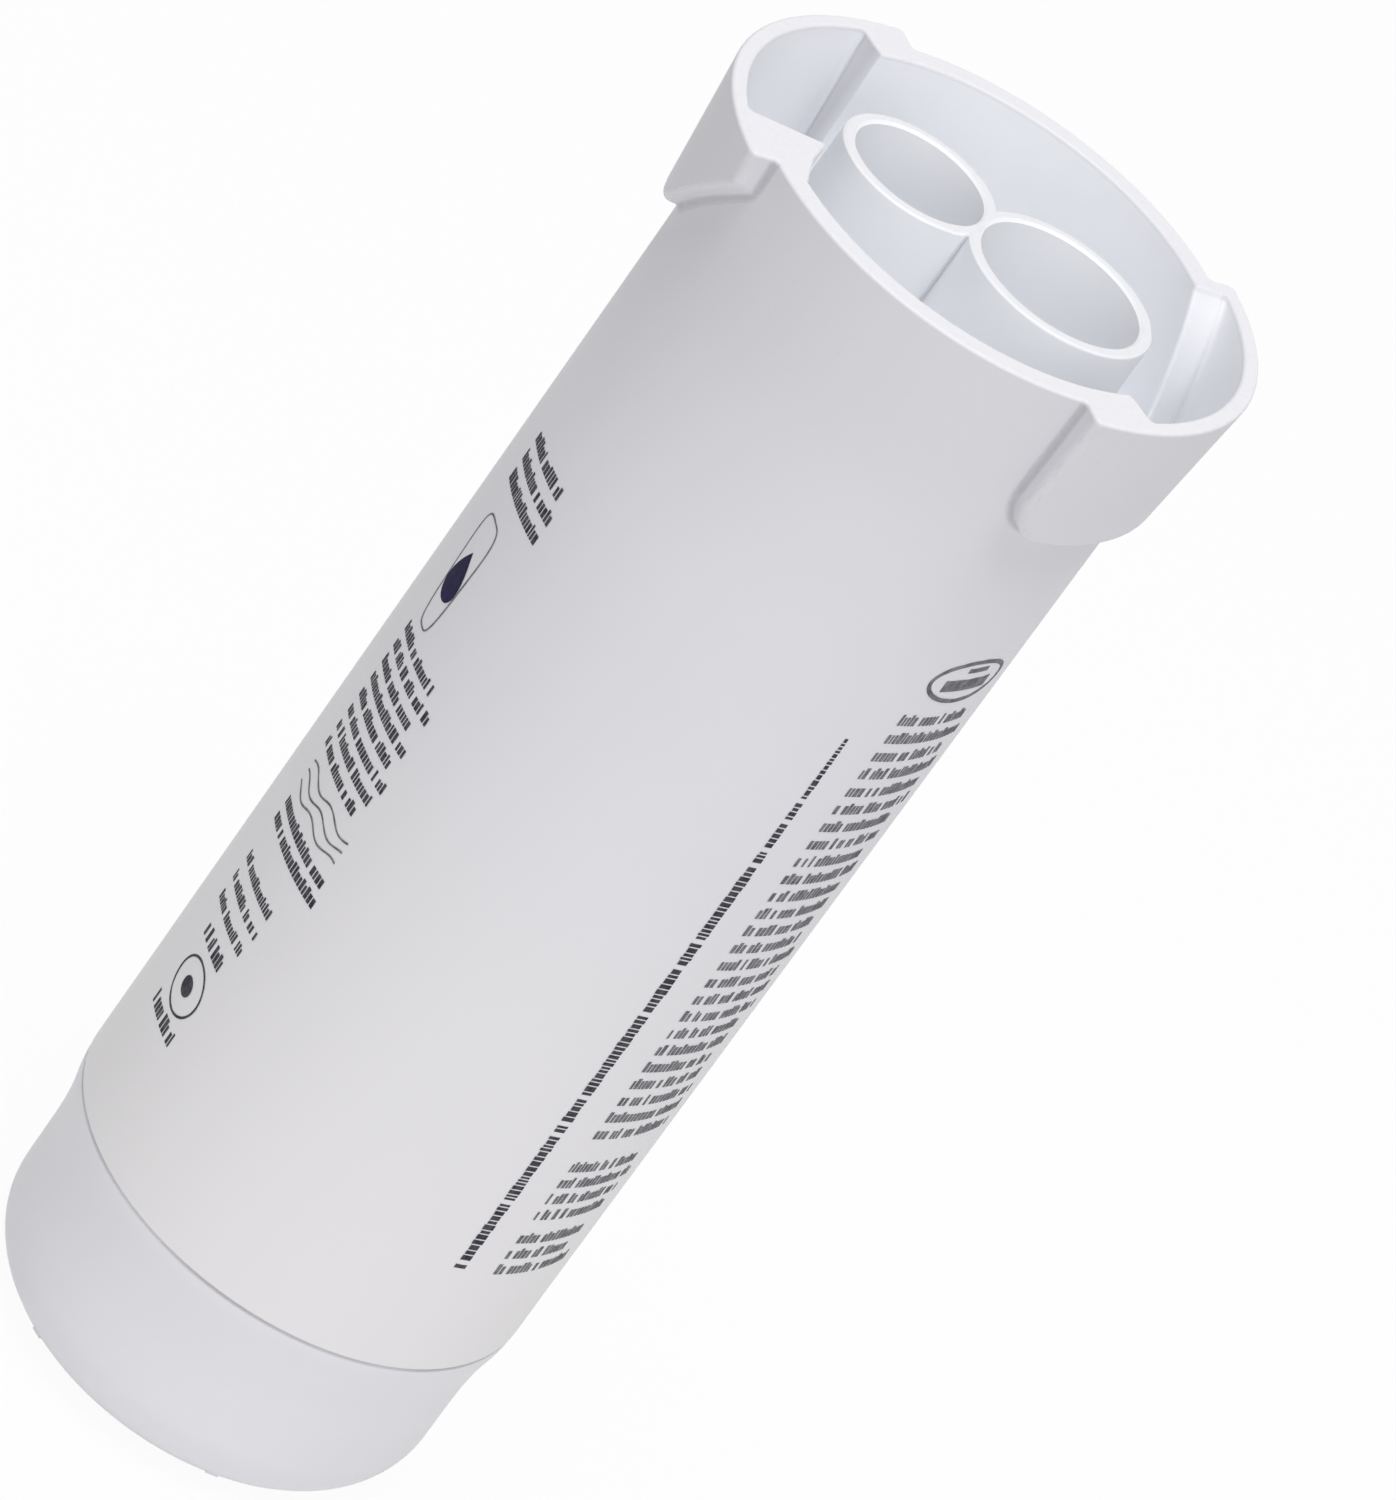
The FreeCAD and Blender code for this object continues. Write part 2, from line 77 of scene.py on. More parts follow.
# Camera, from the photograph
VIEW_AZIMUTH = 5.1
VIEW_ELEVATION = 29.103
VIEW_ROLL = 35.988
VIEW_DISTANCE = 1.15
VIEW_HEIGHT = 107.93 * MM       # point on the axis that the distance is measured to
VIEW_ACROSS = -16.35 * MM       # where that point shows, right of the picture's middle
VIEW_ABOVE = -7.513 * MM        # and above it
LENS_MM = 202.3
SENSOR_MM = 36.0

# Studio: a level of 1 lights a white surface that faces the lamp to white
Lamp = namedtuple("Lamp", "name azimuth elevation distance size level")
LAMPS = (
    Lamp("key", 27.0, 20.0, 1.4, 0.9, 0.20),
    Lamp("top", 12.0, 82.0, 1.8, 1.4, 0.66),
)
AMBIENT = 0.39
FLOOR_SIZE = 12.0
FLOOR_PAPER = (0.88, 0.88, 0.88, 1.0)
FLOOR_LIFT = 0.94               # share of the floor's own white in what the camera sees
WHITE = (1.0, 1.0, 1.0, 1.0)

# Whites and greys of the two moulded shells, some of them painted light and painted shade
BODY_DARK = (0.775, 0.765, 0.805, 1.0)
BODY_LIGHT = (0.805, 0.795, 0.835, 1.0)
# painted light on the lower body
FOOT_PAINTED_LIGHT = (0.860, 0.844, 0.858, 1.0)
# painted shade on the head
HEAD_PAINTED_SHADE = (0.735, 0.726, 0.765, 1.0)
# painted light in the hollow head, paler and bluish
HOLLOW_PAINTED_LIGHT = (0.955, 0.967, 0.998, 1.0)
# painted shade on the deep level floors of the head
RECESS_PAINTED_SHADE = (0.885, 0.893, 0.918, 1.0)
# painted shade deep in the lugs' pockets
POCKET_PAINTED_SHADE = (0.45, 0.46, 0.50, 1.0)
RIM_WHITE = (0.802, 0.799, 0.832, 1.0)
CAP_DARK = (0.815, 0.807, 0.845, 1.0)
CAP_LIGHT = (0.840, 0.832, 0.868, 1.0)
SEAM_GREY = (0.42, 0.42, 0.45, 1.0)
SCUFF_GREY = (0.58, 0.58, 0.60, 1.0)
# painted shade in the creases
CREASE_PAINTED_SHADE = (0.16, 0.16, 0.18, 1.0)
CREASE_REACH = 0.6 * MM
CREASE_OPEN = 0.99              # openness at which painted shade starts in a crease
CREASE_DEEP = 0.90              # and at which it is darkest
CREASE_SHARE = 0.9
CREASE_SAMPLES = 12
CREASE_SHADE_EDGE = 0.4 * MM
HOLLOW_SPARED_SHARE = 0.85              # share of the painted crease shade that the hollow is spared
POCKET_DARKNESS = 0.8           # share of the painted shade where a pocket is darkest
SEAM_LEAST = 0.15               # darkening in the seam where it is faintest
SEAM_MORE = 0.45                # and how much is added where it is darkest
SEAM_REACH = (0.5 * MM, 0.2 * MM)       # off the weld: no darkening at the first, all of it at the second
RUB_WIDTH = 0.9 * MM            # the lugs' outermost band is rubbed
HOUSING_RUB = 0.16
CAP_RUB = 0.22
CAP_RUB_HEIGHT = 3 * MM
SHELL_GLOSS = 0.35
SKIN_DEPTH = 0.02 * MM
SKIN_GRAIN = 2600.0
SKIN_RELIEF = 0.3

# Colours of the filter element inside
CARBON_BLACK = (0.010, 0.010, 0.011, 1.0)
CARBON_GREY = (0.045, 0.045, 0.047, 1.0)
# painted highlight on a few grains
CARBON_PAINTED_GLINT = (0.13, 0.13, 0.14, 1.0)
FIBRE_SHADE = (0.66, 0.66, 0.63, 1.0)
FIBRE_WHITE = (0.84, 0.84, 0.82, 1.0)
BOND_GREY = (0.60, 0.60, 0.58, 1.0)
MILKY_DARK = (0.66, 0.67, 0.66, 1.0)
MILKY_LIGHT = (0.78, 0.79, 0.78, 1.0)
MILKY_RUBBED = (0.55, 0.55, 0.54, 1.0)
AMBER_DARK = (0.50, 0.42, 0.26, 1.0)
AMBER_LIGHT = (0.70, 0.64, 0.48, 1.0)
RUBBER_BLACK = (0.012, 0.012, 0.012, 1.0)
RUBBER_BLOOM = (0.045, 0.045, 0.047, 1.0)

# Inks, where the cover is thin and where it is full
INK_DARK = ((0.085, 0.085, 0.10, 1.0), (0.03, 0.03, 0.045, 1.0))
INK_GREY = ((0.24, 0.24, 0.26, 1.0), (0.12, 0.12, 0.14, 1.0))
INK_NAVY = ((0.014, 0.012, 0.06, 1.0), (0.005, 0.004, 0.034, 1.0))
INK_GLOSS = 0.12

# Print on the body: height of the film off it, then blocks of fine rows, with heights and letters in mm
INK_LIFT = 0.03 * MM
PRINT_SEED = 7
Block = namedtuple("Block", "top pitch rows start end ragged letter share")
LEFT_BLOCKS = (
    Block(158.5, 3.45, 3, -150.8, -124.0, 6.0, 2.0, 0.84),
    Block(123.8, 3.07, 8, -150.0, -122.0, 5.0, 1.8, 0.78),
    Block(91.3, 3.00, 2, -149.0, -119.0, 2.0, 1.9, 0.84),
    Block(80.5, 3.80, 3, -149.0, -126.0, 4.0, 1.7, 0.70),
    Block(68.5, 3.00, 1, -145.0, -132.0, 0.0, 2.4, 0.80),
    Block(54.3, 3.00, 1, -146.5, -130.0, 0.0, 2.4, 0.80),
)
RIGHT_BLOCKS = (
    Block(159.7, 3.29, 25, -33.3, -6.0, 4.0, 2.0, 0.80),
    Block(74.2, 3.17, 4, -33.3, -7.0, 5.0, 2.0, 0.80),
    Block(60.0, 3.12, 3, -33.3, -7.0, 5.0, 2.0, 0.80),
)
BARS_IN_ROW = 90                # more than any row holds
BAR_WIDTHS = (0.45, 0.94)
BAR_GAP = 0.20
WORD_GAP = 0.85
WORD_SHARE = 0.17               # share of the bars that end a word
TALL_SHARE = 0.35
LOW_BAR = 0.78                  # height of the other bars next to a tall one
HEADLINE_ANGLE = -43.2
HEADLINE_LOW = 53.3
HEADLINE_HIGH = 156.0
HEADLINE_WIDTH = 1.9
HEADLINE_BARS = 160
HEADLINE_LENGTHS = (0.35, 0.95)
HEADLINE_GAP = 0.22
HEADLINE_WORD_GAP = 0.9
HEADLINE_WORD_SHARE = 0.13
HEADLINE_SLIM_AT = (126.0, 138.0, HEADLINE_HIGH)
HEADLINE_SLIM = (1.0, 0.7, 0.35)        # share of the width at those heights
HEADLINE_UNEVEN = (0.75, 1.0)
WAVES = (98.5, 96.4, 94.4)
WAVE_START = -149.0
WAVE_END = -122.0
WAVE_SWING = 0.55
WAVE_TURN = 0.75                # radians of the sine in a mm
WAVE_POINTS = 80
WAVE_LINE = 0.30
VESSEL_ANGLE = -143.9
VESSEL_LOW = 126.7
VESSEL_HIGH = 146.1
VESSEL_WIDTH = 6.9
VESSEL_LINE = 0.28
VESSEL_TAPER = (0.82, 0.18)     # share of the width half way up, and how much it grows or shrinks from there
VESSEL_POINTS = 96
DROP_LOW = 131.8
DROP_HIGH = 140.3
DROP_WIDTH = 5.0
DROP_FULLNESS = 1.5 * math.sqrt(3.0)    # brings the drop's widest point to its full width
DROP_ENDS = (0.004, 0.996)      # just short of its two points
DROP_ROWS = 40
RING_ANGLE = -137.8
RING_HEIGHT = 61.0
RING_RADIUS = 4.4
RING_LINE = 0.38
RING_DISC = 0.36                # radius of the disc inside, as a share of the ring's
DISC_END = 0.998                # just short of its top and bottom
DISC_ROWS = 25
PATCH_COLUMNS = 9
OVAL_POINTS = 72
OVAL_ANGLE = -20.0
OVAL_HEIGHT = 166.6
OVAL_WIDTH = 15.4
OVAL_TALL = 7.0
OVAL_LINE = 0.7
OVAL_BARS = (   # name, turn in degrees, rise, half the width and half the thickness in mm
    ("print_oval_bar", 0.0, -0.6, 4.9, 1.0),
    ("print_oval_dash", 1.0, 2.0, 2.2, 0.4),
)


class Wire:
    """An output of a shader node, with arithmetic that adds Math nodes to its tree."""

    def __init__(self, finish, socket):
        self.finish = finish
        self.socket = socket

    def __add__(self, other):
        return self.finish.math("ADD", self, other)

    def __radd__(self, other):
        return self.finish.math("ADD", other, self)

    def __sub__(self, other):
        return self.finish.math("SUBTRACT", self, other)

    def __rsub__(self, other):
        return self.finish.math("SUBTRACT", other, self)

    def __mul__(self, other):
        return self.finish.math("MULTIPLY", self, other)

    def __rmul__(self, other):
        return self.finish.math("MULTIPLY", other, self)

    def __truediv__(self, other):
        return self.finish.math("DIVIDE", self, other)

    def __rtruediv__(self, other):
        return self.finish.math("DIVIDE", other, self)

    def __abs__(self):
        return self.finish.math("ABSOLUTE", self)

    def clamp(self):
        return self.finish.node("ShaderNodeClamp", {}, self)["Result"]

    def root(self):
        return self.finish.math("SQRT", self)

    def most(self, other):
        return self.finish.math("MAXIMUM", self, other)

    def ramp(self, start, end):
        """Rises from 0 at the start to 1 at the end, in a straight line."""
        return ((self - start) / (end - start)).clamp()


class Finish:
    """A node tree under construction: adds nodes, sets their sockets and joins them."""

    def __init__(self, owner):
        owner.use_nodes = True
        self.tree = owner.node_tree
        self.tree.nodes.clear()

    def node(self, kind, settings, *values, **sockets):
        """Adds a node, sets its settings first, then its sockets, in order or by name; gives its outputs."""
        made = self.tree.nodes.new(kind)
        for name, value in settings.items():
            setattr(made, name, value)
        for socket, value in zip([s for s in made.inputs if s.enabled], values):
            self.fill(socket, value)
        for name, value in sockets.items():
            self.fill(made.inputs[name.replace("_", " ")], value)
        return {out.name: Wire(self, out) for out in made.outputs if out.enabled}

    def fill(self, socket, value):
        if isinstance(value, Wire):
            self.tree.links.new(value.socket, socket)
        else:
            socket.default_value = value

    def math(self, operation, *values):
        return self.node("ShaderNodeMath", {"operation": operation}, *values)["Value"]

    def mix(self, factor, first, second):
        """Blends two colours."""
        return self.node("ShaderNodeMix", {"data_type": "RGBA"}, factor, first, second)["Result"]

    def noise(self, place, scale, detail=2.0):
        """Cloudy values around a half."""
        return self.node("ShaderNodeTexNoise", {}, Vector=place, Scale=scale, Detail=detail)["Fac"]

    def cells(self, place, scale):
        """Distance from the middles of cells of uneven size."""
        return self.node("ShaderNodeTexVoronoi", {}, Vector=place, Scale=scale)["Distance"]

    def place(self):
        return self.node("ShaderNodeTexCoord", {})["Object"]

    def parts(self, vector):
        split = self.node("ShaderNodeSeparateXYZ", {}, vector)
        return split["X"], split["Y"], split["Z"]

    def stretch(self, place, x, y, z):
        """The same place with each axis scaled, so that a pattern on it is drawn out."""
        return self.node("ShaderNodeMapping", {}, Vector=place, Scale=(x, y, z))["Vector"]

    def relief(self, height, depth, strength):
        """Normal of a surface raised by a height of 0 to 1 times the depth."""
        return self.node("ShaderNodeBump", {}, Strength=strength, Distance=depth, Height=height)["Normal"]

    def surface(self, **sockets):
        self.close(self.node("ShaderNodeBsdfPrincipled", {}, **sockets)["BSDF"])

    def close(self, shader, kind="ShaderNodeOutputMaterial"):
        self.node(kind, {"target": "ALL"}, shader)

    def seen(self):
        """1 for what the camera sees, straight or reflected, and 0 for light that falls on the object."""
        rays = self.node("ShaderNodeLightPath", {})
        return (rays["Is Camera Ray"] + rays["Is Glossy Ray"] + rays["Is Transmission Ray"]).clamp()


def new_finish(name):
    material = bpy.data.materials.new(name)
    return material, Finish(material)


def seam_darkening(paint, place, z):
    """Share of darkening in the weld seam: uneven along the groove, none half a millimetre off it."""
    along = SEAM_LEAST + SEAM_MORE * paint.noise(place, 28.0).ramp(0.4, 0.65)
    return along * abs(z - SEAM_HEIGHT).ramp(*SEAM_REACH)


def head_share(z):
    """1 from the floor of the hollow head upwards, 0 below it."""
    return z.ramp(HOLLOW_FLOOR, HOLLOW_FLOOR + HEAD_EDGE)


def pocket_share(radius, facing_up):
    """1 on a level floor inside the head or in the pocket of a lug, less on a lean wall, else 0."""
    return radius.ramp(POCKET_RADIUS, POCKET_RADIUS - WALL_EDGE) * facing_up.ramp(*POCKET_TURN)


def hollow_share(z, radius, facing_out, facing_up):
    """1 inside the head and on what faces up in its pockets, 0 on the outside and on the rim's face: where
    the hollow's painted light lies.
    """
    facing_in = facing_out.ramp(*INWARD_TURN)
    inner = radius.ramp(*INNER_SHADE)
    below_rim = z.ramp(RIM_HEIGHT - 0.1 * MM, RIM_FACE)
    return head_share(z) * below_rim * facing_in.most(inner).most(pocket_share(radius, facing_up))


def housing_finish():
    """White moulded plastic: faint clouds, painted light on the foot and in the bluish hollow, painted shade
    on the head, a white rim.

    Painted shade lies on the hollow's deep floors, in the pockets and in the creases; the weld seam is
    darker, and the rim and the lugs are rubbed.
    """
    material, paint = new_finish("housing_white")
    place = paint.place()
    x, y, z = paint.parts(place)
    radius = (x * x + y * y).root()
    nx, ny, nz = paint.parts(paint.node("ShaderNodeNewGeometry", {})["Normal"])
    hollow = hollow_share(z, radius, (nx * x + ny * y) / radius, nz)
    deep = pocket_share(radius, nz) * radius.ramp(RECESS_RADIUS - WALL_EDGE, RECESS_RADIUS + WALL_EDGE)
    lips = nz.ramp(*LIP_TURN) * z.ramp(LIP_FACE, LIP_FACE + FACE_EDGE)
    rim = lips.most(nz.ramp(*RIM_TURN) * z.ramp(RIM_FACE, RIM_FACE + FACE_EDGE))
    white = paint.mix(paint.noise(place, 38.0, 3.0), BODY_DARK, BODY_LIGHT)
    # painted light: the body is paler towards its foot
    white = paint.mix(z.ramp(*FOOT_LIGHT_SPAN), white, FOOT_PAINTED_LIGHT)
    # painted shade: the head is darker
    white = paint.mix(z.ramp(*HEAD_SHADE), white, HEAD_PAINTED_SHADE)
    # painted light: the hollow head is paler and bluish
    white = paint.mix(hollow, white, HOLLOW_PAINTED_LIGHT)
    # painted shade: deep level floors in the head are darker than the hollow's painted light
    white = paint.mix(nz.ramp(*LEVEL_TURN) * z.ramp(*LEVEL_SHADE), white, RECESS_PAINTED_SHADE)
    # painted shade: the lugs' pockets darken with depth
    white = paint.mix(POCKET_DARKNESS * deep * z.ramp(*POCKET_SHADE), white, POCKET_PAINTED_SHADE)
    # up-facing rim and ports' lips get a plain white: lighter than the painted shade on the head's sides,
    # darker than the hollow's painted light
    white = paint.mix(rim, white, RIM_WHITE)
    # the weld seam is darker, unevenly along it
    white = paint.mix(seam_darkening(paint, place, z), white, SEAM_GREY)
    scuffs = paint.noise(paint.stretch(place, 1.0, 1.0, 0.2), 900.0, 4.0).ramp(0.52, 0.75)
    rubbed = scuffs * radius.ramp(LUG_RADIUS - RUB_WIDTH, LUG_RADIUS).most(rim)
    white = paint.mix(HOUSING_RUB * rubbed, white, SCUFF_GREY)
    # painted shade: creases darken by how closed in they are, from just under the lugs upwards
    around = {"samples": CREASE_SAMPLES, "only_local": True}
    openness = paint.node("ShaderNodeAmbientOcclusion", around, Distance=CREASE_REACH)["AO"]
    crease_shade = openness.ramp(CREASE_OPEN, CREASE_DEEP) * z.ramp(CREASE_SHADE_FLOOR, CREASE_SHADE_FLOOR + CREASE_SHADE_EDGE)
    white = paint.mix(CREASE_SHARE * crease_shade * (1 - HOLLOW_SPARED_SHARE * hollow), white, CREASE_PAINTED_SHADE)
    paint.surface(
        Base_Color=white,
        Roughness=0.46 + 0.10 * paint.noise(place, 160.0) - 0.08 * rubbed,
        Specular_IOR_Level=SHELL_GLOSS,
        Normal=paint.relief(paint.noise(place, SKIN_GRAIN, 1.0), SKIN_DEPTH, SKIN_RELIEF),
    )
    return material


def cap_finish():
    """The cap's white plastic: clouds drawn out round the axis by the weld, and a rubbed foot."""
    material, paint = new_finish("cap_white")
    place = paint.place()
    z = paint.parts(place)[2]
    clouds = paint.noise(paint.stretch(place, 1.0, 1.0, 4.0), 30.0, 3.0)
    white = paint.mix(clouds, CAP_DARK, CAP_LIGHT)
    # the weld seam is darker, unevenly along it
    white = paint.mix(seam_darkening(paint, place, z), white, SEAM_GREY)
    scuffs = paint.noise(place, 700.0, 4.0).ramp(0.5, 0.75) * z.ramp(CAP_RUB_HEIGHT, 0.0)
    white = paint.mix(CAP_RUB * scuffs, white, SCUFF_GREY)
    paint.surface(
        Base_Color=white,
        Roughness=0.44 + 0.10 * paint.noise(place, 150.0) + 0.10 * scuffs,
        Specular_IOR_Level=SHELL_GLOSS,
        Normal=paint.relief(paint.noise(place, SKIN_GRAIN, 1.0), SKIN_DEPTH, SKIN_RELIEF),
    )
    return material


def carbon_finish():
    """Pressed carbon: packed dark grains of uneven size, and a few with a painted glint, lighter and
    smoother.
    """
    material, paint = new_finish("pressed_carbon")
    place = paint.place()
    tone = paint.noise(place, 900.0, 3.0)
    black = paint.mix(tone, CARBON_BLACK, CARBON_GREY)
    # painted highlight: a few grains are lighter as if they glint, and smoother
    glint = paint.cells(place, 1100.0).ramp(0.12, 0.04)
    paint.surface(
        Base_Color=paint.mix(0.5 * glint, black, CARBON_PAINTED_GLINT),
        Roughness=0.85 - 0.35 * glint,
        Normal=paint.relief(paint.cells(place, 1500.0), 0.3 * MM, 0.8),
    )
    return material


def wrap_finish():
    """Non-woven sleeve: long crossing fibres and small pressed bond points."""
    material, paint = new_finish("wrap_fibre")
    place = paint.place()
    along = paint.noise(paint.stretch(place, 1.0, 1.0, 0.06), 2400.0)
    across = paint.noise(paint.stretch(place, 0.08, 0.08, 1.0), 2400.0)
    bonds = paint.cells(place, 420.0).ramp(0.30, 0.18)
    fibres = along.most(across)
    white = paint.mix(fibres, FIBRE_SHADE, FIBRE_WHITE)
    paint.surface(
        Base_Color=paint.mix(0.4 * bonds, white, BOND_GREY),
        Roughness=0.95 - 0.25 * bonds,
        Normal=paint.relief(fibres - 0.6 * bonds, 0.2 * MM, 0.7),
    )
    return material


def end_cap_finish():
    """Natural moulded plastic: milky flow clouds and an edge rubbed by its fitting."""
    material, paint = new_finish("end_cap_natural")
    place = paint.place()
    x, y = paint.parts(place)[:2]
    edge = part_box("top_end_cap")[1].x
    clouds = paint.noise(paint.stretch(place, 1.0, 1.0, 3.0), 90.0, 4.0)
    milky = paint.mix(clouds, MILKY_DARK, MILKY_LIGHT)
    rubbed = (x * x + y * y).root().ramp(edge - 1.0 * MM, edge) * paint.noise(place, 600.0, 3.0)
    paint.surface(
        Base_Color=paint.mix(0.3 * rubbed, milky, MILKY_RUBBED),
        Roughness=0.38 + 0.18 * clouds,
        Normal=paint.relief(paint.noise(place, 1800.0), 0.03 * MM, 0.4),
    )
    return material


def hot_melt_finish():
    """Hot-melt adhesive: milky amber blotches with a wet, wavy skin."""
    material, paint = new_finish("hot_melt_amber")
    place = paint.place()
    blotches = paint.noise(place, 220.0, 3.0)
    paint.surface(
        Base_Color=paint.mix(blotches, AMBER_DARK, AMBER_LIGHT),
        Roughness=0.22 + 0.2 * blotches,
        Normal=paint.relief(paint.noise(place, 350.0, 1.0), 0.2 * MM, 0.5),
    )
    return material


def rubber_finish():
    """Black seal rubber: a grey bloom in patches and a fine matt grain."""
    material, paint = new_finish("seal_black")
    place = paint.place()
    bloom = paint.noise(place, 500.0, 3.0).ramp(0.45, 0.75)
    paint.surface(
        Base_Color=paint.mix(bloom, RUBBER_BLACK, RUBBER_BLOOM),
        Roughness=0.55 + 0.25 * bloom,
        Normal=paint.relief(paint.noise(place, 5000.0), 0.04 * MM, 0.6),
    )
    return material


def ink_finish(name, thin, full):
    """Printed ink: cover that varies from thin to full in small clouds, and a slightly raised matt film."""
    material, paint = new_finish(name)
    place = paint.place()
    cover = paint.noise(place, 900.0, 3.0).ramp(0.35, 0.65)
    grain = paint.noise(place, 4000.0)
    paint.surface(
        Base_Color=paint.mix(cover, thin, full),
        Roughness=0.50 + 0.25 * grain,
        Specular_IOR_Level=INK_GLOSS,
        Normal=paint.relief(grain, SKIN_DEPTH, 0.4),
    )
    return material


def finish_nodes():
    """Gives every moulded, pressed or cut piece of the cartridge its finish."""
    end_cap_natural = end_cap_finish()
    hot_melt_amber = hot_melt_finish()
    seal_black = rubber_finish()
    finishes = {
        "housing": housing_finish(),
        "bottom_cap": cap_finish(),
        "carbon_block": carbon_finish(),
        "prefilter_wrap": wrap_finish(),
        "top_end_cap": end_cap_natural,
        "bottom_end_cap": end_cap_natural,
        "glue_disc_top": hot_melt_amber,
        "glue_disc_bottom": hot_melt_amber,
        "neck_o_ring_upper": seal_black,
        "neck_o_ring_lower": seal_black,
    }
    for name, finish in finishes.items():
        for slot in nodes[name].material_slots:
            slot.material = finish


def body_line():
    """Slope and base of the body's radius, a straight line in height fitted to the housing's own points."""
    mesh = nodes["housing"].data
    points = np.empty(3 * len(mesh.vertices), dtype=np.float32)
    mesh.vertices.foreach_get("co", points)
    x, y, z = points.reshape(-1, 3).T.astype(float)
    radius = np.hypot(x, y)
    low, high = BODY_ZONE
    body = (radius > SHELL_RADIUS) & (z > low) & (z < high)
    return np.polyfit(z[body], radius[body], 1)


BODY_SLOPE, BODY_BASE = body_line()


def on_body(angle, height):
    """Points on the ink film: the body's radius plus the lift, turned to the angle at the height."""
    radius = BODY_BASE + BODY_SLOPE * height + INK_LIFT
    turn = np.radians(angle)
    return np.stack([radius * np.cos(turn), radius * np.sin(turn), height], axis=-1)


def degrees_per_mm(height_mm):
    return np.degrees(MM / (BODY_BASE + BODY_SLOPE * height_mm * MM))


def print_piece(name, angle, height_mm, finish):
    """Film of ink made of grids: arrays of (grids, rows, columns), each cell of a grid one face.

    A grid whose columns run against the turn of the angle is flipped, so that every face looks outwards.
    """
    backwards = (angle[:, :1, -1:] - angle[:, :1, :1]) * (height_mm[:, -1:, :1] - height_mm[:, :1, :1]) < 0
    angle = np.where(backwards, angle[:, :, ::-1], angle)
    height_mm = np.where(backwards, height_mm[:, :, ::-1], height_mm)
    points = on_body(angle, height_mm * MM)
    index = np.arange(angle.size).reshape(angle.shape)
    faces = [index[:, :-1, :-1], index[:, :-1, 1:], index[:, 1:, 1:], index[:, 1:, :-1]]
    mesh = bpy.data.meshes.new(name)
    mesh.from_pydata(points.reshape(-1, 3).tolist(), [], np.stack(faces, axis=-1).reshape(-1, 4).tolist())
    mesh.materials.append(finish)
    piece = bpy.data.objects.new(name, mesh)
    bpy.context.scene.collection.objects.link(piece)
    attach(piece, "root")


def boxes(left, right, low, high):
    """Grids of two by two points, one for each box from left to right and from low to high."""
    across = np.stack([left, right], axis=-1)[:, None, :]
    upward = np.stack([low, high], axis=-1)[:, :, None]
    return np.broadcast_to(across, (len(left), 2, 2)), np.broadcast_to(upward, (len(left), 2, 2))


def row_boxes(block, rng):
    """Boxes of one block of rows.

    Along each row, widths and gaps are drawn at random and summed up to places; a gap is wide after a word.
    Boxes past the row's ragged end are left out. Some are tall, most a little lower, from one base line.
    """
    heights = block.top - block.pitch * np.arange(block.rows)[:, None]
    scale = degrees_per_mm(heights)
    size = (block.rows, BARS_IN_ROW)
    width = block.share * rng.uniform(*BAR_WIDTHS, size)
    gap = np.where(rng.random(size) < WORD_SHARE, WORD_GAP, BAR_GAP)
    right = np.cumsum(width + gap, axis=1) - gap
    left = right - width
    ends = block.end - rng.uniform(0.0, block.ragged, (block.rows, 1))
    keep = block.start + right * scale < ends
    base = heights - block.letter / 2 + np.zeros(size)
    tall = block.letter * np.where(rng.random(size) < TALL_SHARE, 1.0, LOW_BAR)
    sides = (block.start + left * scale, block.start + right * scale, base, base + tall)
    return [side[keep] for side in sides]


def block_boxes(blocks, rng):
    sides = [row_boxes(block, rng) for block in blocks]
    return boxes(*(np.concatenate(side) for side in zip(*sides)))


def headline_boxes(rng):
    """Boxes up the body in one line: lengths and gaps summed up along the height, slimmer near the top."""
    length = rng.uniform(*HEADLINE_LENGTHS, HEADLINE_BARS)
    gap = np.where(rng.random(HEADLINE_BARS) < HEADLINE_WORD_SHARE, HEADLINE_WORD_GAP, HEADLINE_GAP)
    high = HEADLINE_LOW + np.cumsum(length + gap) - gap
    low = high - length
    keep = high < HEADLINE_HIGH
    slim = np.interp(high, HEADLINE_SLIM_AT, HEADLINE_SLIM)
    half = HEADLINE_WIDTH / 2 * slim * rng.uniform(*HEADLINE_UNEVEN, HEADLINE_BARS) * degrees_per_mm(high)
    sides = (HEADLINE_ANGLE - half, HEADLINE_ANGLE + half, low, high)
    return boxes(*(side[keep] for side in sides))


def stroke(across_mm, upward_mm, width, angle, closed):
    """Line of one width along a path in mm about an angle: each point moves both ways along the normal."""
    path = np.stack([across_mm, upward_mm])
    if closed:
        ahead = np.roll(path, -1, axis=1) - np.roll(path, 1, axis=1)
    else:
        ahead = np.gradient(path, axis=1)
    normal = np.stack([-ahead[1], ahead[0]]) / np.hypot(*ahead)
    across, upward = np.stack([path - normal * width / 2, path + normal * width / 2], axis=1)
    if closed:
        across = np.concatenate([across, across[:, :1]], axis=1)
        upward = np.concatenate([upward, upward[:, :1]], axis=1)
    return (angle + across * degrees_per_mm(upward))[None], upward[None]


def patch(upward_mm, half_mm, angle):
    """Filled shape, even about an upright line: at each height it spans half a width to both sides."""
    side = np.linspace(-1.0, 1.0, PATCH_COLUMNS)[None, :]
    upward = upward_mm[:, None] + 0.0 * side
    return (angle + half_mm[:, None] * side * degrees_per_mm(upward))[None], upward[None]


def oval(width, tall, line, angle, height):
    """Line round an oval: half the width times the cosine, and half the height times the sine."""
    turn = np.linspace(0.0, 2 * np.pi, OVAL_POINTS, endpoint=False)
    return stroke(width / 2 * np.cos(turn), height + tall / 2 * np.sin(turn), line, angle, True)


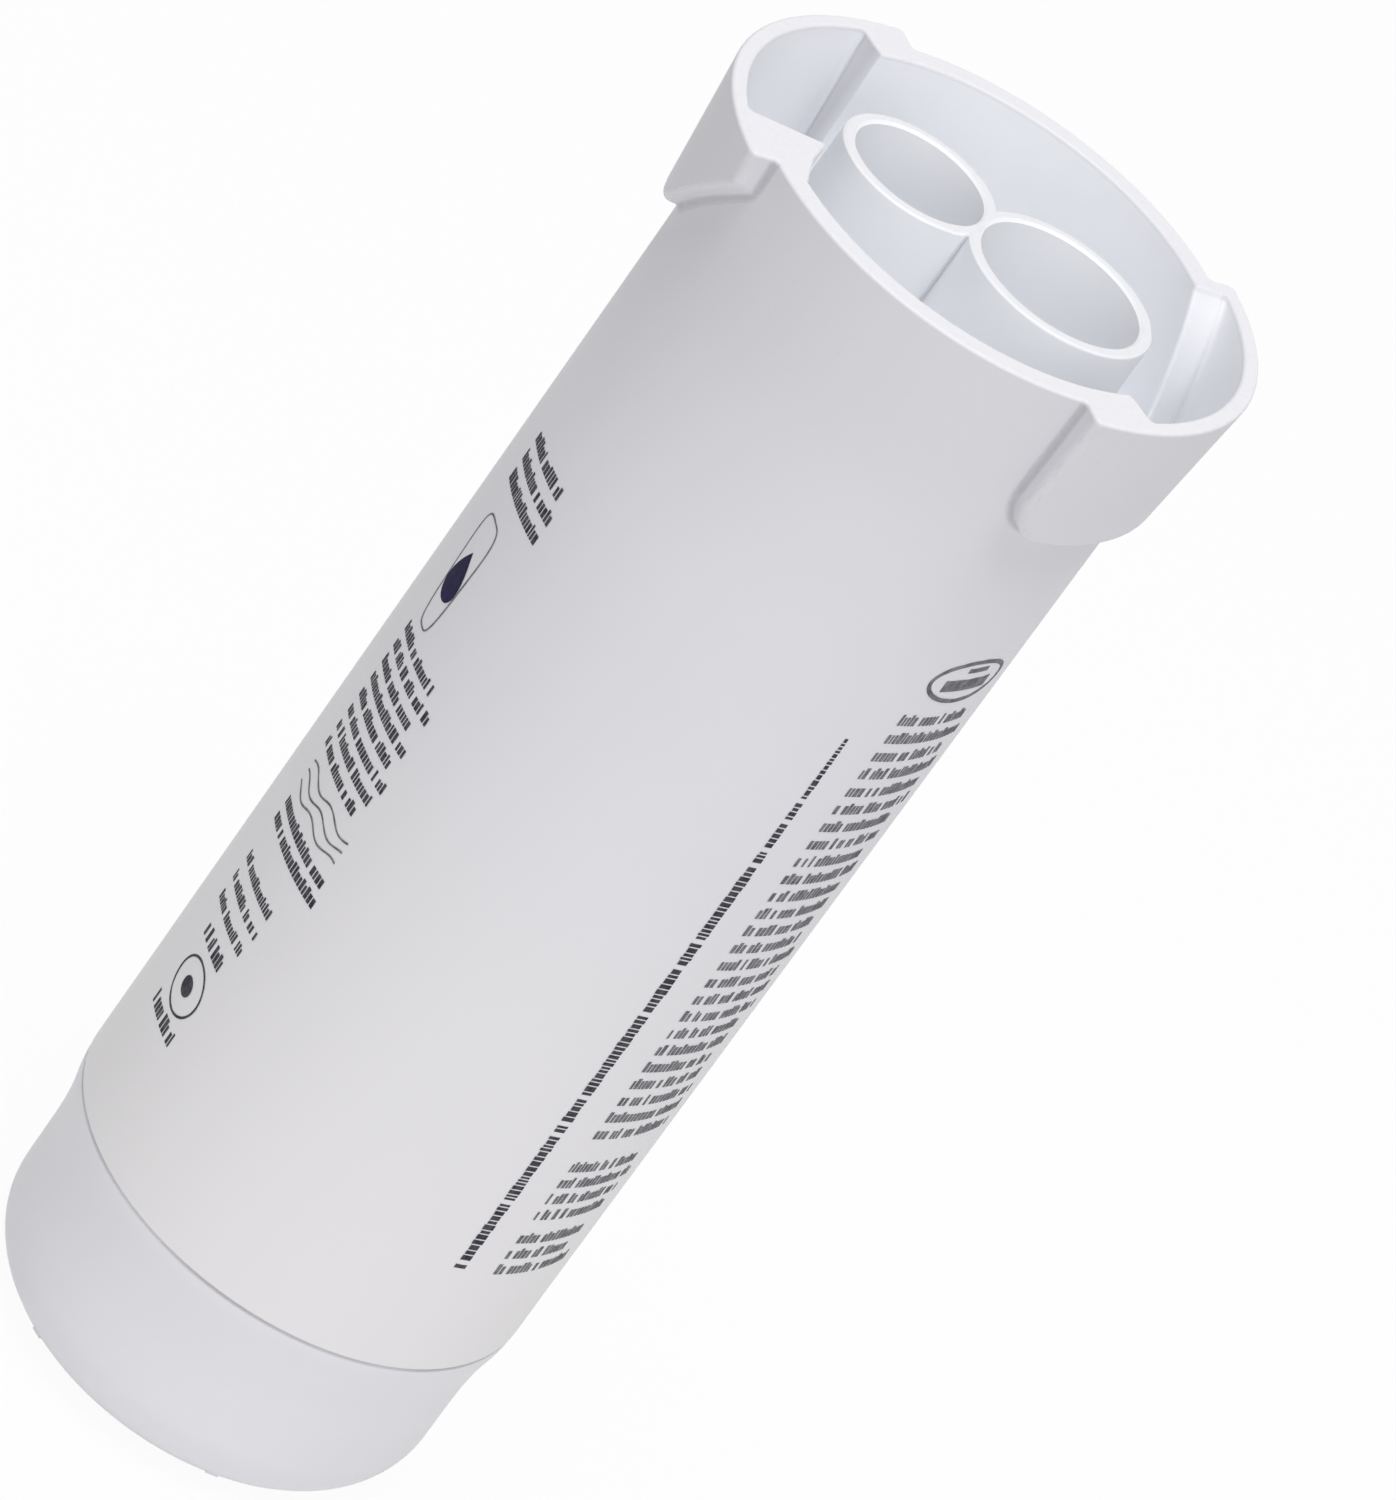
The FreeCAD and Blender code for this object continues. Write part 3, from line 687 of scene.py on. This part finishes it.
def disc(radius, angle, height):
    """Filled round: at each height the half width is the radius times the root of 1 less rise squared."""
    rise = np.linspace(-DISC_END, DISC_END, DISC_ROWS)
    return patch(height + radius * rise, radius * np.sqrt(1 - rise**2), angle)


def vessel():
    """Outline of a vessel: roots of sine and cosine make an oval with full corners, narrower below."""
    turn = np.linspace(0.0, 2 * np.pi, VESSEL_POINTS, endpoint=False)
    upward = np.sign(np.sin(turn)) * np.sqrt(np.abs(np.sin(turn)))
    taper = VESSEL_TAPER[0] + VESSEL_TAPER[1] * upward
    across = VESSEL_WIDTH / 2 * taper * np.sign(np.cos(turn)) * np.sqrt(np.abs(np.cos(turn)))
    rise = (VESSEL_LOW + VESSEL_HIGH) / 2 + (VESSEL_HIGH - VESSEL_LOW) / 2 * upward
    return stroke(across, rise, VESSEL_LINE, VESSEL_ANGLE, True)


def drop():
    """Filled drop: half width is the root of the share of the height times what is left of it."""
    share = np.linspace(*DROP_ENDS, DROP_ROWS)
    half = DROP_WIDTH / 2 * DROP_FULLNESS * np.sqrt(share) * (1 - share)
    return patch(DROP_LOW + (DROP_HIGH - DROP_LOW) * share, half, VESSEL_ANGLE)


def wave(height, number):
    """Line that swings up and down as a sine along the body, each a little behind the one above."""
    reach = np.linspace(0.0, (WAVE_END - WAVE_START) / degrees_per_mm(height), WAVE_POINTS)
    swing = WAVE_SWING * np.sin(WAVE_TURN * reach + number)
    return stroke(reach, height + swing, WAVE_LINE, WAVE_START, False)


def make_print():
    """All print on the body, in plain boxes, lines and simple signs."""
    rng = np.random.default_rng(PRINT_SEED)
    dark = ink_finish("ink_dark", *INK_DARK)
    grey = ink_finish("ink_grey", *INK_GREY)
    navy = ink_finish("ink_navy", *INK_NAVY)
    print_piece("print_rows_left", *block_boxes(LEFT_BLOCKS, rng), dark)
    print_piece("print_rows_right", *block_boxes(RIGHT_BLOCKS, rng), grey)
    print_piece("print_headline", *headline_boxes(rng), dark)
    print_piece("print_vessel", *vessel(), grey)
    print_piece("print_drop", *drop(), navy)
    ring_across = 2 * RING_RADIUS
    print_piece("print_ring", *oval(ring_across, ring_across, RING_LINE, RING_ANGLE, RING_HEIGHT), dark)
    print_piece("print_ring_disc", *disc(RING_DISC * RING_RADIUS, RING_ANGLE, RING_HEIGHT), dark)
    print_piece("print_oval", *oval(OVAL_WIDTH, OVAL_TALL, OVAL_LINE, OVAL_ANGLE, OVAL_HEIGHT), grey)
    ends = np.array([-1.0, 1.0])
    for name, turn, rise, half, thick in OVAL_BARS:
        shape = patch(OVAL_HEIGHT + rise + thick * ends, half * np.ones(2), OVAL_ANGLE + turn)
        print_piece(name, *shape, grey)
    for number, height in enumerate(WAVES):
        print_piece("print_wave_%d" % number, *wave(height, number), grey)


def make_floor():
    half = FLOOR_SIZE / 2
    mesh = bpy.data.meshes.new("floor")
    corners = [(-half, -half, 0), (half, -half, 0), (half, half, 0), (-half, half, 0)]
    mesh.from_pydata(corners, [], [(0, 1, 2, 3)])
    floor = bpy.data.objects.new("floor", mesh)
    bpy.context.scene.collection.objects.link(floor)
    material, paint = new_finish("floor_white")
    paper = paint.node("ShaderNodeBsdfDiffuse", {}, Color=FLOOR_PAPER)["BSDF"]
    glow = paint.node("ShaderNodeEmission", {}, Color=WHITE, Strength=1.0)["Emission"]
    paint.close(paint.node("ShaderNodeMixShader", {}, FLOOR_LIFT * paint.seen(), paper, glow)["Shader"])
    mesh.materials.append(material)


def make_world():
    world = bpy.data.worlds.new("studio")
    bpy.context.scene.world = world
    paint = Finish(world)
    strength = AMBIENT + (1.0 - AMBIENT) * paint.seen()
    shader = paint.node("ShaderNodeBackground", {}, Color=WHITE, Strength=strength)["Background"]
    paint.close(shader, "ShaderNodeOutputWorld")


def from_angles(azimuth, elevation):
    a = math.radians(azimuth)
    e = math.radians(elevation)
    return Vector((math.sin(a) * math.cos(e), -math.cos(a) * math.cos(e), math.sin(e)))


def make_lamp(name, azimuth, elevation, distance, size, level):
    data = bpy.data.lights.new(name, "AREA")
    data.shape = "DISK"
    data.size = size
    data.energy = level * math.pi**2 * distance**2
    lamp = bpy.data.objects.new(name, data)
    back = from_angles(azimuth, elevation)
    lamp.location = Vector((0, 0, VIEW_HEIGHT)) + distance * back
    lamp.rotation_euler = back.to_track_quat("Z", "Y").to_euler()
    bpy.context.scene.collection.objects.link(lamp)


def make_camera():
    """The camera looks down at the body's middle and is rolled, so that the cartridge leans in view."""
    a = math.radians(VIEW_AZIMUTH)
    roll = math.radians(VIEW_ROLL)
    back = from_angles(VIEW_AZIMUTH, VIEW_ELEVATION)
    right = Vector((math.cos(a), math.sin(a), 0))
    up = back.cross(right)
    across = math.cos(roll) * right + math.sin(roll) * up
    above = math.cos(roll) * up - math.sin(roll) * right
    place = Vector((0, 0, VIEW_HEIGHT)) + VIEW_DISTANCE * back - VIEW_ACROSS * across - VIEW_ABOVE * above
    data = bpy.data.cameras.new("camera")
    data.sensor_fit = "VERTICAL"
    data.sensor_height = SENSOR_MM
    data.lens = LENS_MM
    camera = bpy.data.objects.new("camera", data)
    camera.matrix_world = Matrix.Translation(place) @ Matrix((across, above, back)).transposed().to_4x4()
    bpy.context.scene.collection.objects.link(camera)
    bpy.context.scene.camera = camera


finish_nodes()
make_print()
make_floor()
make_world()
for lamp in LAMPS:
    make_lamp(*lamp)
make_camera()
bpy.context.scene.view_settings.view_transform = "Standard"
